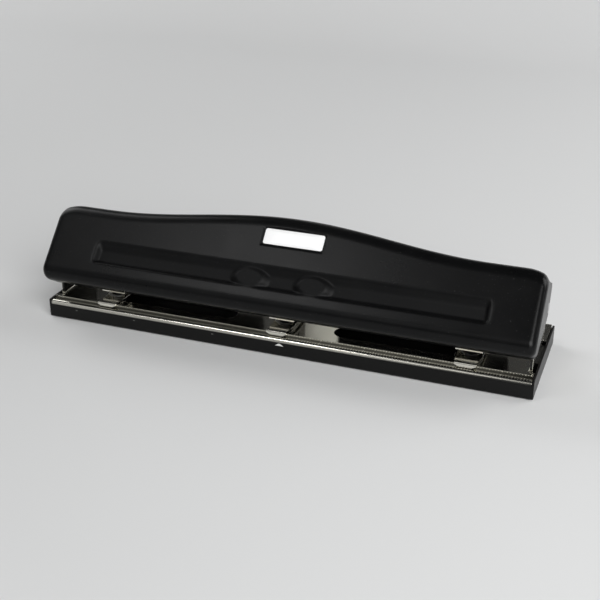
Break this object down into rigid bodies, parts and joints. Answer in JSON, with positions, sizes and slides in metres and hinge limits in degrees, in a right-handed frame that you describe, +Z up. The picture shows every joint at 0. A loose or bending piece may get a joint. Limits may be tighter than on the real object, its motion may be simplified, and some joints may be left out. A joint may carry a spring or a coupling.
{
  "type": "adjustable hole punch",
  "caption": "Adjustable desk paper punch: pressed hinged handle over a plated base with sliding punch heads, sprung pins, knurled locks and a lift-off chip tray.",
  "frame": {"origin": "middle of the punch's outline on the table, at the bottom of its feet", "axes": "+X along the punch to the user's right, -Y towards the user and the paper, +Z up"},
  "size_m": [0.291, 0.0781, 0.0713],
  "materials": {
    "nickel": "bright nickel plating",
    "head_nickel": "bright nickel plating",
    "screw_nickel": "nickel plating",
    "black_enamel": "semi-gloss black enamel",
    "tray_plastic": "satin black",
    "foot_rubber": "matte black",
    "label_white": "bare white film",
    "steel": "zinc plated",
    "tool_steel": "ground",
    "spring_steel": "drawn wire"
  },
  "bodies": {
    "tray": {"chip_tray": "tray_plastic", "rubber_feet": "foot_rubber"},
    "base": {"base_plate": "nickel", "pivot_pin_left": "steel", "pivot_pin_right": "steel", "head_frame_centre": "head_nickel", "punch_die_centre": "tool_steel", "return_spring_centre": "spring_steel", "centre_head_rivets": "screw_nickel"},
    "handle": {"handle": "black_enamel", "pressure_bar": "steel", "label_plate": "label_white"},
    "head_left": {"head_frame_left": "head_nickel", "punch_die_left": "tool_steel", "return_spring_left": "spring_steel", "clamp_nut_left": "steel"},
    "screw_left": {"lock_screw_left": "screw_nickel"},
    "head_right": {"head_frame_right": "head_nickel", "punch_die_right": "tool_steel", "return_spring_right": "spring_steel", "clamp_nut_right": "steel"},
    "screw_right": {"lock_screw_right": "screw_nickel"},
    "pin_left": {"punch_pin_left": "tool_steel", "retaining_clip_left": "spring_steel"},
    "pin_centre": {"punch_pin_centre": "tool_steel", "retaining_clip_centre": "spring_steel"},
    "pin_right": {"punch_pin_right": "tool_steel", "retaining_clip_right": "spring_steel"}
  },
  "joints": [
    {"name": "base_lift", "type": "slide", "parent": "tray", "child": "base", "axis": [0, 0, 1], "range_m": [0, 0.02]},
    {"name": "handle_press", "type": "hinge", "parent": "base", "child": "handle", "pos_m": [0, 0.00509, 0.038], "axis": [1, 0, 0], "range_deg": [0, 13], "stiffness_Nm_per_rad": 4, "springref_deg": -8.59},
    {"name": "head_left_slide", "type": "slide", "parent": "base", "child": "head_left", "axis": [-1, 0, 0], "range_m": [-0.066, 0.002]},
    {"name": "lock_left_turn", "type": "hinge", "parent": "head_left", "child": "screw_left", "pos_m": [-0.10795, 0.01359, 0.0145], "axis": [0, 0, 1], "range_deg": [-180, 180]},
    {"name": "head_right_slide", "type": "slide", "parent": "base", "child": "head_right", "axis": [1, 0, 0], "range_m": [-0.066, 0.002]},
    {"name": "lock_right_turn", "type": "hinge", "parent": "head_right", "child": "screw_right", "pos_m": [0.10795, 0.01359, 0.0145], "axis": [0, 0, 1], "range_deg": [-180, 180]},
    {"name": "pin_left_drop", "type": "slide", "parent": "head_left", "child": "pin_left", "axis": [0, 0, -1], "range_m": [0, 0.0044], "deforming": ["return_spring_left"]},
    {"name": "pin_centre_drop", "type": "slide", "parent": "base", "child": "pin_centre", "axis": [0, 0, -1], "range_m": [0, 0.0044], "deforming": ["return_spring_centre"]},
    {"name": "pin_right_drop", "type": "slide", "parent": "head_right", "child": "pin_right", "axis": [0, 0, -1], "range_m": [0, 0.0044], "deforming": ["return_spring_right"]}
  ],
  "couplings": [
    {"joint": "pin_left_drop", "follows": "handle_press", "m_per_rad": 0.0191},
    {"joint": "pin_centre_drop", "follows": "handle_press", "m_per_rad": 0.0191},
    {"joint": "pin_right_drop", "follows": "handle_press", "m_per_rad": 0.0191}
  ]
}
